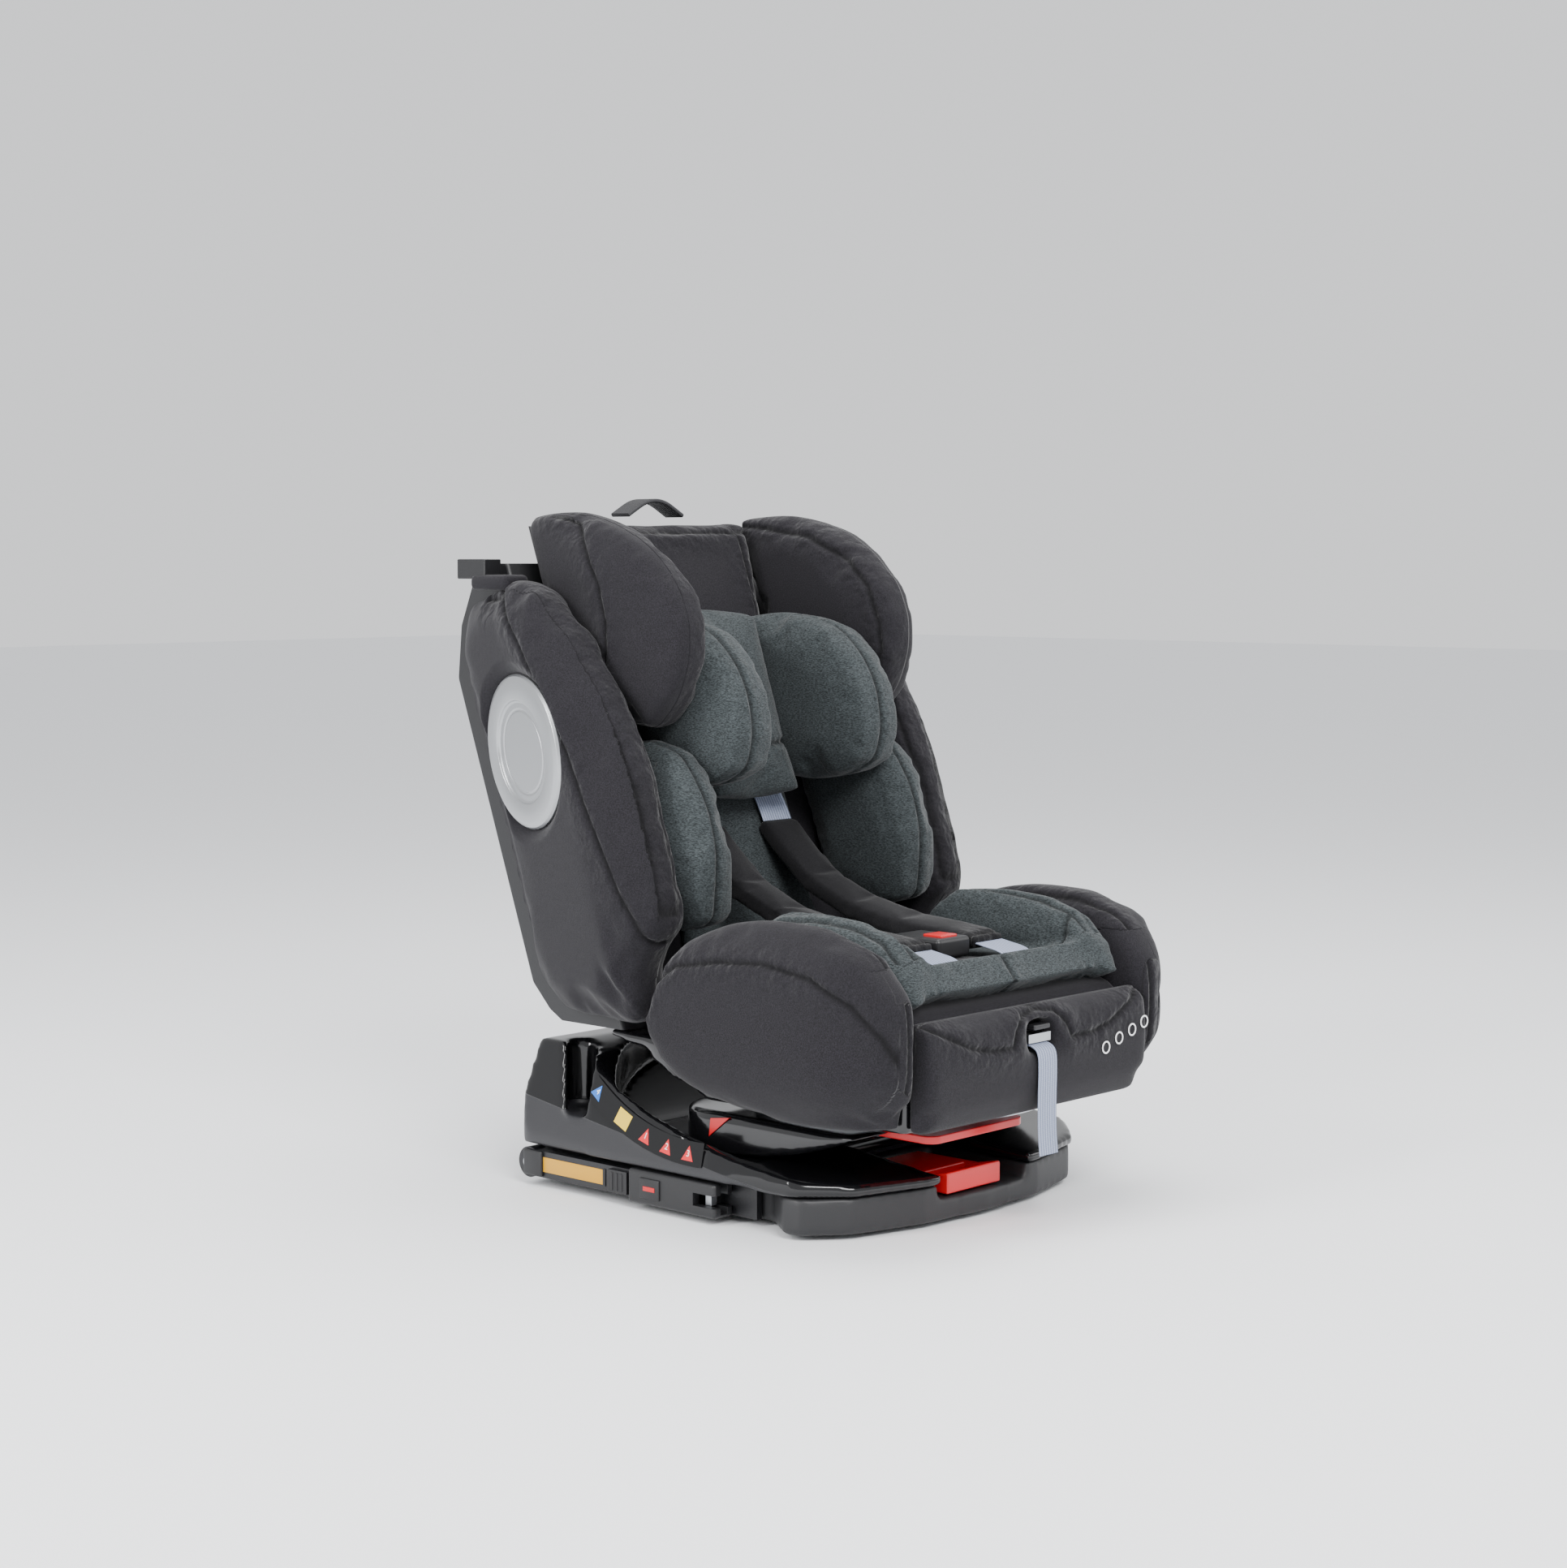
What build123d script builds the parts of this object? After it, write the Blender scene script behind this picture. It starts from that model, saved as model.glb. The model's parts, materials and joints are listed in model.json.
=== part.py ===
from build123d import *
import math
import os

# Convertible car seat on a swivelling, reclining ISOFIX base.
# Frame: floor at z = 0, +Z up, the child faces -Y, the seat is symmetric about x = 0.
# All sizes are in millimetres.

# Base
base_half_width = 190
base_rear = 212
base_front = -192
skirt_z = 38            # lower edge of the side skirt, above the stowed arms
foot_height = 4
tray_half_width = 158

# Recline: the cradle rolls in a round trough about an axis above the seat
recline_y = -14
recline_z = 455
cradle_radius = 400
trough_gap = 2.5
cradle_half_width = 160
cradle_top = 90
cradle_rear = 50

# Swivel
swivel_y = -90
swing_radius = 217      # plan radius that the turning seat needs above the base
swing_shift = 50        # how far the swivel centre travels rearwards over the recline
hub_radius = 30
running_gap = 0.05

# Seat
seat_bottom = 97
pan_half_width = 150
wing_outer = 218

# Backrest, which leans back from the vertical
back_lean = 20
lean_z = 150            # height at which lean coordinates equal plan coordinates
channel_half_width = 168

# ISOFIX arms
axle_y = 195
axle_z = 21
axle_radius = 6
arm_x = 179             # middle of each arm
arm_half_thickness = 7
hook_y = 4
hook_z = 26

slack = 0.3             # usual gap between separate moving bodies
lean_slope = math.tan(math.radians(back_lean))
lean_dir = Vector(0, math.sin(math.radians(back_lean)), math.cos(math.radians(back_lean)))

os.makedirs("parts", exist_ok=True)


def save(name, *solids):
    shape = solids[0] if len(solids) == 1 else Compound(children=list(solids))
    shape.label = name
    export_step(shape, f"parts/{name}.step")


def span(x, y, z):
    """Box between the given (low, high) limits on each axis."""
    size = Box(x[1] - x[0], y[1] - y[0], z[1] - z[0])
    return Pos((x[0] + x[1]) / 2, (y[0] + y[1]) / 2, (z[0] + z[1]) / 2) * size


def rounded_span(x, y, z, radius):
    """Box between limits with every edge rounded."""
    solid = span(x, y, z)
    return fillet(solid.edges(), radius)


def outline(points, radius):
    """Closed outline whose corners are rounded by the radius, or sharp where it is 0."""
    if radius == 0:
        return make_face(Polyline(*points, close=True))
    return make_face(FilletPolyline(*points, radius=radius, close=True))


def from_side(points, x, radius=6):
    """(y, z) outline swept across x."""
    face = Plane.YZ.offset(x[0]) * outline(points, radius)
    return extrude(face, x[1] - x[0])


def from_top(points, z, radius=6):
    """(x, y) outline raised from z[0] to z[1]."""
    face = Plane.XY.offset(z[0]) * outline(points, radius)
    return extrude(face, z[1] - z[0])


def from_front(points, y, radius=6):
    """(x, z) outline swept from y[0] to y[1]."""
    face = Plane.XZ.offset(-y[1]) * outline(points, radius)
    return extrude(face, y[1] - y[0])


def lean_y(s, z):
    """Plan y of a lean coordinate s at height z."""
    return s + (z - lean_z) * lean_slope


def leaning(points, z, radius=6):
    """(x, s) outline swept up along the lean of the backrest from z[0] to z[1]."""
    shifted = [(px, lean_y(ps, z[0])) for px, ps in points]
    face = Plane.XY.offset(z[0]) * outline(shifted, radius)
    length = (z[1] - z[0]) / lean_dir.Z
    return extrude(face, length, dir=lean_dir)


def lean_box(x, s, z, radius=0.4):
    """Box between x and lean limits, swept along the lean."""
    corners = [(x[0], s[0]), (x[1], s[0]), (x[1], s[1]), (x[0], s[1])]
    return leaning(corners, z, radius)


def rod(start, end, radius):
    """Round rod between two points."""
    axis = Vector(*end) - Vector(*start)
    plane = Plane(origin=start, z_dir=axis)
    return extrude(plane * Circle(radius), axis.length)


def upright(x, y, radius, z):
    """Vertical cylinder between two heights."""
    return Pos(x, y, (z[0] + z[1]) / 2) * Cylinder(radius, z[1] - z[0])


def flip(solid):
    """The same piece on the other side of x = 0."""
    return mirror(solid, Plane.YZ)


def swing_envelope():
    """Space the turning seat may fill above the base: narrow low down, wide higher up."""
    low = upright(0, swivel_y, 206, (60, 117)) + Pos(0, swivel_y, 119.5) * Cone(206, 222, 5)
    middle = upright(0, swivel_y, 222, (122, 136)) + Pos(0, swivel_y, 139) * Cone(222, 262, 6)
    return low + middle + upright(0, swivel_y, 600, (142, 800))


def base_plan():
    w = base_half_width
    return [(-w + 2, base_rear), (-w, -30), (-w + 4, -130), (-150, -166), (-78, -186), (0, base_front),
            (78, -186), (150, -166), (w - 4, -130), (w, -30), (w - 2, base_rear)]


def lever_notch():
    return span((-60, 60), (-230, -70), (24, 120))


def base_tray():
    """Lower tray on the floor, set in at the sides where the arms are stowed."""
    w = tray_half_width
    plan = [(-w, 206), (-w, -82), (-184, -116), (-182, -134), (-148, -163), (-78, -182), (0, -188),
            (78, -182), (148, -163), (182, -134), (184, -116), (w, -82), (w, 206)]
    tray = from_top(plan, (foot_height, skirt_z - 2), 8)
    tray -= lever_notch()
    for side in (-1, 1):
        pocket = (min(side * 70, side * 145), max(side * 70, side * 145))
        tray -= span(pocket, (-65, 178), (foot_height + 5, skirt_z))
    tray -= span((-60, 60), (22, 178), (foot_height + 5, skirt_z))
    return tray - rod((-200, axle_y, axle_z), (200, axle_y, axle_z), axle_radius)


def base_housing():
    """Upper moulding: side skirts, rear hump, round trough, lever notch and grip holes."""
    side = [(base_rear + 4, skirt_z), (base_rear - 2, 84), (201, 132), (170, 132), (140, 123), (103, 104),
            (47, 82), (-3, 69), (-60, 59), (-120, 52), (-205, 43), (-205, skirt_z - 2), (-90, skirt_z - 2),
            (-80, skirt_z)]
    w = base_half_width + 1
    front = [(-w, 0), (-w, skirt_z), (-165, 140), (165, 140), (w, skirt_z), (w, 0)]
    body = from_top(base_plan(), (skirt_z - 2, 150), 20)
    body = body & from_side(side, (-200, 200), 6) & from_front(front, (-230, 230), 10)
    trough_x = cradle_half_width + 10
    ring = [upright(0, swivel_y, swing_radius, (30, 200)),
            upright(0, swivel_y + swing_shift, swing_radius, (30, 200))]
    stadium = ring[0] + ring[1] + span((-swing_radius, swing_radius), (swivel_y, swivel_y + swing_shift), (30, 200))
    trough = rod((-trough_x, recline_y, recline_z), (trough_x, recline_y, recline_z), cradle_radius + trough_gap)
    body -= trough & stadium
    over = [(-240, 56), (240, 123.5), (240, 220), (-240, 220)]
    body -= stadium & from_side(over, (-220, 220), 1)
    body -= lever_notch()
    body -= span((-130, 130), (-60, 80), (skirt_z - 4, 47))
    for sign in (-1, 1):
        slot = SlotOverall(58, 26)
        hole = extrude(Plane.XY.offset(70) * Pos(sign * 163, 150) * Rot(0, 0, -sign * 42) * slot, 90)
        body -= hole
        body -= scale_plate(sign, 0.5)
    return body


def scale_plate(sign, grow):
    """Curved recline scale let into the side of the housing."""
    arc_y = recline_y
    arc_z = 294
    outer = Plane.YZ * Pos(arc_y, arc_z) * Circle(247 + grow)
    inner = Plane.YZ * Pos(arc_y, arc_z) * Circle(226 - grow)
    band = extrude(outer - inner, 2 + 4 * grow)
    sector = from_side([(-27 - grow, 20), (-25 - grow, 70), (arc_y, arc_z), (116 + grow, 112), (128 + grow, 70)],
                       (-1, 6), 1)
    foot_x = 183.7          # inner face of the plate at z = 60
    side_tilt = -14.3       # lean of the housing's side, in degrees
    plate = Pos(foot_x - grow, 0, 0) * (band & sector)
    plate = Pos(foot_x, 0, 60) * (Rot(0, side_tilt, 0) * (Pos(-foot_x, 0, -60) * plate))
    return plate if sign > 0 else flip(plate)


def base_feet():
    spots = [(0, 0), (-120, -135), (120, -135), (-120, 175), (120, 175)]
    return [upright(x, y, 16, (0, foot_height)) for x, y in spots]


def isofix_frame(sign):
    """Steel channel beside the tray that carries the arm's axle."""
    rail = span((160, 166), (-70, 206), (6, 35)) - rod((100, axle_y, axle_z), (200, axle_y, axle_z), axle_radius)
    rail += span((tray_half_width, 160), (-60, 170), (8, 14))
    return rail if sign > 0 else flip(rail)


def isofix_axle():
    return rod((-188, axle_y, axle_z), (188, axle_y, axle_z), axle_radius)


def isofix_arm(sign):
    """Flat arm that swings down and back about the axle."""
    x = (arm_x - arm_half_thickness, arm_x + arm_half_thickness)
    bar = span(x, (62, axle_y), (axle_z - 12, axle_z + 12))
    bar += rod((x[0], axle_y, axle_z), (x[1], axle_y, axle_z), 14)
    bar -= rod((100, axle_y, axle_z), (200, axle_y, axle_z), axle_radius + running_gap)
    return bar if sign > 0 else flip(bar)


def isofix_connector(sign):
    """Latch housing on the free end of the arm, with the mouth for the anchor bar."""
    body = rounded_span((arm_x - 11, arm_x + 12), (-44, 62), (6, 36), 3)
    body -= span((arm_x - 20, arm_x + 20), (-50, -18), (15, 26))
    body -= span((arm_x - 4, arm_x + 4), (-50, 14), (9, 50))
    body -= rod((arm_x - 9, hook_y, hook_z), (arm_x + 9, hook_y, hook_z), 3 + running_gap)
    return body if sign > 0 else flip(body)


def isofix_hook(sign):
    """Spring hook that closes over the anchor bar, turning on its own trunnions."""
    hook = span((arm_x - 3.6, arm_x + 3.6), (-32, 6), (24, 28.5))
    hook += span((arm_x - 3.6, arm_x + 3.6), (-32, -25), (15, 25))
    hook += rod((arm_x - 3.6, hook_y, hook_z), (arm_x + 3.6, hook_y, hook_z), 5)
    hook += rod((arm_x - 8.5, hook_y, hook_z), (arm_x + 8.5, hook_y, hook_z), 3)
    return hook if sign > 0 else flip(hook)


def isofix_release(sign):
    """Thumb slider on the outside of the arm that opens the hook."""
    x = (arm_x + arm_half_thickness + slack, arm_x + arm_half_thickness + 4.5)
    slider = span(x, (64, 88), (11, 31))
    for y in (70, 76, 82):
        slider += span((x[1], x[1] + 0.8), (y - 1, y + 1), (13, 29))
    return slider if sign > 0 else flip(slider)


def recline_lever():
    """Pull handle in the notch of the base."""
    lever = from_side([(-184, 26.3), (-90, 26.3), (-90, 40), (-160, 40), (-184, 45)], (-50, 22), 2)
    return lever - span((-42, 14), (-176, -150), (30, 60))


def recline_cradle():
    """Rocker that rolls in the trough and carries the swivel bearing."""
    drum = rod((-cradle_half_width, recline_y, recline_z), (cradle_half_width, recline_y, recline_z), cradle_radius)
    half = cradle_half_width
    plan = [(-half, -240), (half, -240), (half, cradle_rear), (-half, cradle_rear)]
    cradle = drum & from_top(plan, (40, cradle_top), 55)
    cradle -= upright(0, swivel_y, hub_radius + running_gap, (40, 120))
    cradle -= span((-112, 15), (-240, -126), (82.4, 100))
    for sign in (-1, 1):
        cradle -= pointer(sign, 0)
    return cradle


def pointer(sign, out):
    """Triangular marker let into the flank of the cradle, pointing down to the scale."""
    face = Plane.YZ.offset(cradle_half_width - 2) * make_face(Polyline((-32, 88), (-10, 85), (-8, 69), close=True))
    mark = extrude(face, 2 + out)
    return mark if sign > 0 else flip(mark)


def bearing_ring():
    ring = upright(0, swivel_y, 110, (cradle_top, 93)) - upright(0, swivel_y, 92, (80, 100))
    return ring


def swivel_lever():
    """Flat pull strip under the front edge of the seat."""
    lever = span((-111.6, 14.6), (-218, -126.4), (82.7, 89.6))
    return fillet(lever.edges().filter_by(Axis.Z).sort_by(Axis.Y)[:2], 12)


def turntable():
    """Steel disc with the hub that turns in the cradle."""
    disc = upright(0, swivel_y, 130, (93 + slack, seat_bottom))
    return disc + upright(0, swivel_y, hub_radius, (73, 94))


def seat_shell():
    """Plastic bucket under the cushion; its smooth flank shows behind the seat wings."""
    low = from_side([(-222, seat_bottom), (8, seat_bottom), (48, 122), (99, 141), (150, 149.9), (-222, 149.9)],
                    (-165, 165), 3)
    plan = [(-150.5, -222), (150.5, -222), (150.5, 24), (164, 36), (164, 110), (120, 160), (-120, 160),
            (-164, 110), (-164, 36), (-150.5, 24)]
    shell = low & from_top(plan, (80, 160), 5) & swing_envelope()
    shell -= from_side([(-214, 105), (4, 105), (44, 130), (95, 160), (-214, 160)], (-142, 142), 3)
    return shell


def seat_cushion():
    side = [(-222, 150.3), (80, 150.3), (80, 186), (0, 190), (-120, 197), (-190, 200), (-222, 188)]
    return from_side(side, (-pan_half_width, pan_half_width), 5)


def seat_wing(sign):
    """D-shaped side of the seat cover."""
    side = [(22, 172), (17, 204), (-15, 244), (-60, 263), (-110, 269), (-160, 267), (-206, 250), (-238, 215),
            (-250, 175), (-250, 140), (-238, 97), (-100, 97), (-30, 108), (8, 134)]
    plan = [(151, 40), (218, 40), (218, -115), (214, -186), (194, -234), (151, -250)]
    front = [(151, 97), (176, 97), (207, 127), (218, 162), (215, 225), (196, 269), (168, 269), (151, 240)]
    wing = from_side(side, (151, wing_outer), 10) & from_top(plan, (80, 280), 12)
    wing = wing & from_front(front, (-260, 60), 6) & swing_envelope()
    return wing if sign > 0 else flip(wing)


def front_panel():
    """Front of the seat cover with the recess for the harness adjuster."""
    side = [(-222.5, 97), (-237, 97), (-247, 118), (-250, 150), (-246, 180), (-236, 190), (-222.5, 191)]
    panel = from_side(side, (-150.5, 150.5), 4) & swing_envelope()
    return panel - span((-19, 19), (-260, -222), (150, 178))


def adjuster_housing():
    return span((-15, 15), (-243, -224), (158.5, 166))


def adjuster_button():
    return rounded_span((-11, 11), (-246, -228), (169.5, 174), 1.5)


def adjuster_strap():
    """Webbing tail that hangs in front of the seat."""
    tail = span((-12.5, 12.5), (-252.4, -250.6), (98, 157.8))
    return tail + span((-12.5, 12.5), (-252.4, -226), (156, 157.8))


def back_shell():
    """Hard shell of the backrest, open below, with the channel that guides the headrest."""
    plan = [(-167.7, 90), (167.7, 90), (167.7, 197), (148, 213), (100, 222), (0, 226), (-100, 222),
            (-148, 213), (-167.7, 197)]
    side = [(60, 151), (170, 151), (186, 160), (214, 188), (245, 231), (267, 274), (287, 333), (299, 378),
            (307, 420), (308, 455), (303, 505), (288, 540), (266, 562), (200, 562), (150, 480)]
    shell = leaning(plan, (140, 575), 4) & from_side(side, (-168, 168), 6)
    shell -= lean_box((-150, 150), (104, 158), (120, 470))
    shell -= lean_box((-30.5, 30.5), (80, 99), (404, 600))
    return shell


def back_cushion():
    return lean_box((-167.5, 167.5), (72, 89.7), (176, 396), 4)


def back_wing(sign):
    """Deep side bolster of the backrest."""
    side = [(236, 546), (204, 560), (165, 548), (118, 512), (75, 464), (48, 420), (25, 370), (8, 315), (-5, 268),
            (-1, 249), (16, 228), (27, 205), (30, 160), (60, 153), (160, 151), (186, 162), (214, 188), (245, 231),
            (267, 274), (287, 333), (299, 378), (307, 420), (308, 455), (303, 505), (286, 540)]
    plan = [(150, -90), (198, -90), (213, -30), (217, 20), (153.9, 247.8), (150, 247.8)]
    wing = leaning(plan, (120, 600), 0) & from_side(side, (channel_half_width, 225), 6)
    return wing if sign > 0 else flip(wing)


def disc_place(low, high, radius):
    """Cylinder square to the outer face of the right bolster, at the side disc."""
    centre = (196.56, 183, 395)
    plane = Plane(origin=centre, z_dir=(1, 0.27703, -0.10083))
    return extrude(plane.offset(low) * Circle(radius), high - low)


def side_disc(sign):
    """Silver side-impact disc: bevelled rim with a sunk middle."""
    disc = disc_place(0.02, 7, 70)
    disc = chamfer(disc.edges().group_by(SortBy.LENGTH)[-1].sort_by(Axis.X)[-1], 2.5)
    disc -= disc_place(5.4, 9, 46)
    return disc if sign > 0 else flip(disc)


def belt_guide(sign):
    """Open hook that routes the vehicle belt past the top of the bolster."""
    guide = span((176, 196), (238, 276), (548, 566)) - span((170, 190), (246, 268), (553, 561))
    return guide if sign > 0 else flip(guide)


def back_insert():
    return lean_box((-92, 92), (60, 71.6), (206, 400), 4)


def bolster_insert(sign):
    side = [(158, 398), (149, 372), (125, 307), (104, 250), (40, 240), (6, 250), (2, 306), (20, 362), (46, 398),
            (84, 408)]
    pad = from_side(side, (114, 160), 8) & from_front([(116, 236), (150, 236), (160, 270), (160, 380), (146, 410),
                                                       (122, 410), (114, 380), (114, 262)], (-20, 170), 6)
    return pad if sign > 0 else flip(pad)


def seat_insert():
    """Grey infant cushion on the seat: raised sides and a rolled front edge."""
    pad = from_side([(-232, 204), (-212, 224), (-190, 218), (-170, 210), (56, 200), (76, 190.6), (56, 190.3),
                     (0, 190.6), (-120, 197.6), (-186, 201)], (-112, 112), 2)
    for sign in (-1, 1):
        wing = from_side([(-231, 205), (-214, 236), (-188, 254), (-155, 263), (-110, 266), (-60, 262), (-28, 240),
                          (-6, 206), (0, 191), (-120, 198), (-190, 201)], (112, 149), 4)
        pad += wing if sign > 0 else flip(wing)
    return pad


def shoulder_pad(sign):
    """Fabric sleeve over the shoulder strap."""
    side = [(112, 316), (96, 300), (52, 262), (0, 240), (-60, 229), (-150, 226), (-150, 240), (-62, 243),
            (-4, 254), (46, 276), (88, 312), (104, 328)]
    pad = from_side(side, (26, 70), 5)
    return pad if sign > 0 else flip(pad)


def harness_strap(sign):
    """Webbing from the backrest slot into the pad, and the lap loop that returns below it."""
    top = from_side([(131, 372), (133, 372), (115.5, 330), (113.5, 330)], (30, 68), 0.4)
    loop = from_side([(-150.6, 226), (-172, 226), (-180, 217.5), (-168, 212), (-60, 214), (-60, 216),
                      (-166, 214.2), (-176, 218), (-170, 224.2), (-150.6, 224.2)], (30, 68), 0.4)
    if sign > 0:
        return [top, loop]
    return [flip(top), flip(loop)]


def crotch_pad():
    return from_side([(-184, 218), (-178, 222.5), (-118, 217.5), (-110, 212.5), (-165, 213.5)], (-24, 24), 1)


def buckle():
    """Harness buckle lying on the crotch pad, under the ends of the pads."""
    body = rounded_span((-22, 22), (-150, -92), (220.8, 239), 4)
    body -= rounded_span((-11, 11), (-144, -122), (230.5, 250), 1.2)
    return body


def buckle_button():
    return rounded_span((-10.6, 10.6), (-143.6, -122.4), (234, 241), 1)


def harness_yoke():
    """Steel plate behind the shell that joins both shoulder straps to the adjuster strap."""
    plate = lean_box((-32, 32), (140, 143), (300, 332))
    return plate - lean_box((-24, 24), (138, 145), (318, 324))


def headrest_shell():
    shell = lean_box((-138, 138), (76.3, 83), (412, 596), 3)
    return shell + lean_box((-30, 30), (82, 98), (412, 590), 0.4)


def headrest_panel():
    return lean_box((-119, 119), (45, 76), (402, 606), 6)


def headrest_wing(sign):
    side = [(64, 419), (40, 446), (26, 482), (26, 512), (40, 544), (66, 568), (104, 592), (146, 604), (190, 609),
            (236, 606), (232, 590), (176, 436), (120, 424)]
    plan = [(120, -110), (158, -110), (165, -60), (154, 72), (120, 72)]
    wing = from_side(side, (119.5, 166), 10) & leaning(plan, (400, 620), 4)
    return wing if sign > 0 else flip(wing)


def head_pillow():
    return lean_box((-58, 58), (4, 44.6), (350, 515), 12)


def pillow_ear(sign):
    side = [(112, 362), (72, 366), (40, 368), (14, 382), (6, 412), (12, 446), (30, 478), (58, 502), (100, 512),
            (176, 512), (122, 364)]
    ear = from_side(side, (59, 112), 10) & leaning([(59, -120), (104, -120), (112, -100), (112, 44), (59, 44)],
                                                    (350, 520), 4)
    return ear if sign > 0 else flip(ear)


def pull_loop():
    """Webbing loop on top of the headrest that releases its height latch."""
    loop = from_front([(-40, 606.5), (-22, 620), (0, 624), (22, 620), (40, 606.5), (30, 606.5), (16, 614),
                       (0, 617), (-16, 614), (-30, 606.5)], (216, 240), 1)
    return loop


sides = {"left": -1, "right": 1}
save("base_tray", base_tray())
save("base_housing", base_housing())
save("base_feet", *base_feet())
save("recline_scale", *[scale_plate(sign, 0) for sign in (-1, 1)])
save("isofix_frame", *[isofix_frame(sign) for sign in (-1, 1)])
save("isofix_axle", isofix_axle())
save("recline_lever", recline_lever())
save("recline_cradle", recline_cradle())
save("recline_pointer", *[pointer(sign, 0.8) for sign in (-1, 1)])
save("bearing_ring", bearing_ring())
save("swivel_lever", swivel_lever())
save("turntable", turntable())
save("seat_shell", seat_shell())
save("seat_cushion", seat_cushion())
save("front_panel", front_panel())
save("adjuster_housing", adjuster_housing())
save("adjuster_button", adjuster_button())
save("adjuster_strap", adjuster_strap())
save("back_shell", back_shell())
save("back_cushion", back_cushion())
save("back_insert", back_insert())
save("seat_insert", seat_insert())
save("crotch_pad", crotch_pad())
save("buckle", buckle())
save("buckle_button", buckle_button())
save("harness_yoke", harness_yoke())
save("headrest_shell", headrest_shell())
save("headrest_panel", headrest_panel())
save("head_pillow", head_pillow())
save("pull_loop", pull_loop())
for side, sign in sides.items():
    save(f"isofix_arm_{side}", isofix_arm(sign))
    save(f"isofix_connector_{side}", isofix_connector(sign))
    save(f"isofix_hook_{side}", isofix_hook(sign))
    save(f"isofix_release_{side}", isofix_release(sign))
    save(f"seat_wing_{side}", seat_wing(sign))
    save(f"back_wing_{side}", back_wing(sign))
    save(f"side_disc_{side}", side_disc(sign))
    save(f"belt_guide_{side}", belt_guide(sign))
    save(f"bolster_insert_{side}", bolster_insert(sign))
    save(f"shoulder_pad_{side}", shoulder_pad(sign))
    save(f"harness_strap_{side}", *harness_strap(sign))
    save(f"headrest_wing_{side}", headrest_wing(sign))
    save(f"pillow_ear_{side}", pillow_ear(sign))
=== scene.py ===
import bpy
import bmesh
import json
import math
import numpy as np
from mathutils import Matrix, Vector

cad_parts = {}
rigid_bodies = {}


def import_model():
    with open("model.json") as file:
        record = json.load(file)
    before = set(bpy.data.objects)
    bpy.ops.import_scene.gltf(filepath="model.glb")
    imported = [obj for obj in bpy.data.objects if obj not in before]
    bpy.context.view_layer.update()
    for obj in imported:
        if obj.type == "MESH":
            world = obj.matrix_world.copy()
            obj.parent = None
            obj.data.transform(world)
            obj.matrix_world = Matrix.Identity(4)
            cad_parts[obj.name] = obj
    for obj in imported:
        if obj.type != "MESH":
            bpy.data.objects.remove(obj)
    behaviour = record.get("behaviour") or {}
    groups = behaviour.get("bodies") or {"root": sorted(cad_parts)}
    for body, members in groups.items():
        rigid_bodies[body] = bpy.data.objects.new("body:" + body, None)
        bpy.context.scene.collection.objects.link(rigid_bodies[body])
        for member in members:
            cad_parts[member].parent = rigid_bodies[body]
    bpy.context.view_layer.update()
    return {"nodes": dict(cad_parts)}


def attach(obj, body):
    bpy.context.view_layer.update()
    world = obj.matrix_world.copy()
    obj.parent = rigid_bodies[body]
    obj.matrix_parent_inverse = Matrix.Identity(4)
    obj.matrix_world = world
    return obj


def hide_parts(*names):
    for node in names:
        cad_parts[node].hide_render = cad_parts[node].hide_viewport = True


for leftover in list(bpy.data.objects):
    bpy.data.objects.remove(leftover)
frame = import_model()
nodes = frame["nodes"]
scene = bpy.context.scene
MM = 0.001

# Camera: a long lens to the front and the child's right, at the height of the headrest,
# looking down by about five degrees.
look = Vector((0.7291, 0.6749, -0.0795)).normalized()
camera = bpy.data.objects.new("camera", bpy.data.cameras.new("camera"))
camera.data.lens = 65.36
camera.data.sensor_width = 36
camera.location = (-1.8988, -1.7048, 0.5686)
camera.rotation_mode = "QUATERNION"
camera.rotation_quaternion = look.to_track_quat("-Z", "Y")
scene.collection.objects.link(camera)
scene.camera = camera

# Pale studio: a flat painted floor under even air light, with four soft area lights. The key stands
# above the camera, the side light draws the silver disc, the fill opens the far side, the top the seat.
world = bpy.data.worlds.new("studio_air")
world.use_nodes = True
world.node_tree.nodes["Background"].inputs["Color"].default_value = (0.93, 0.94, 0.96, 1)
world.node_tree.nodes["Background"].inputs["Strength"].default_value = 1.15
scene.world = world


def soft_light(name, place, target, size, power):
    lamp = bpy.data.lights.new(name, "AREA")
    lamp.shape = "RECTANGLE"
    lamp.size, lamp.size_y = size
    lamp.energy = power
    holder = bpy.data.objects.new(name, lamp)
    holder.location = place
    holder.rotation_mode = "QUATERNION"
    holder.rotation_quaternion = (Vector(target) - Vector(place)).to_track_quat("-Z", "Y")
    scene.collection.objects.link(holder)


soft_light("key", (-1.1, -2.1, 2.1), (0, 0, 0.3), (1.3, 1.0), 95)
soft_light("side", (-2.4, 0.5, 1.3), (0, 0, 0.3), (0.6, 1.6), 60)
soft_light("fill", (2.0, -1.6, 1.3), (0, 0, 0.3), (1.5, 1.5), 18)
soft_light("top", (0.2, 0.2, 2.4), (0, 0, 0.3), (1.6, 1.6), 40)

floor_shape = bmesh.new()
bmesh.ops.create_grid(floor_shape, x_segments=1, y_segments=1, size=14)
floor_mesh = bpy.data.meshes.new("studio_floor")
floor_shape.to_mesh(floor_mesh)
floor_shape.free()
floor = bpy.data.objects.new("studio_floor", floor_mesh)
scene.collection.objects.link(floor)


def hexed(text):
    """Linear RGBA of an sRGB hex colour."""
    parts = [int(text[i:i + 2], 16) / 255 for i in (1, 3, 5)]
    return [c / 12.92 if c <= 0.04045 else ((c + 0.055) / 1.055) ** 2.4 for c in parts] + [1]


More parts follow.
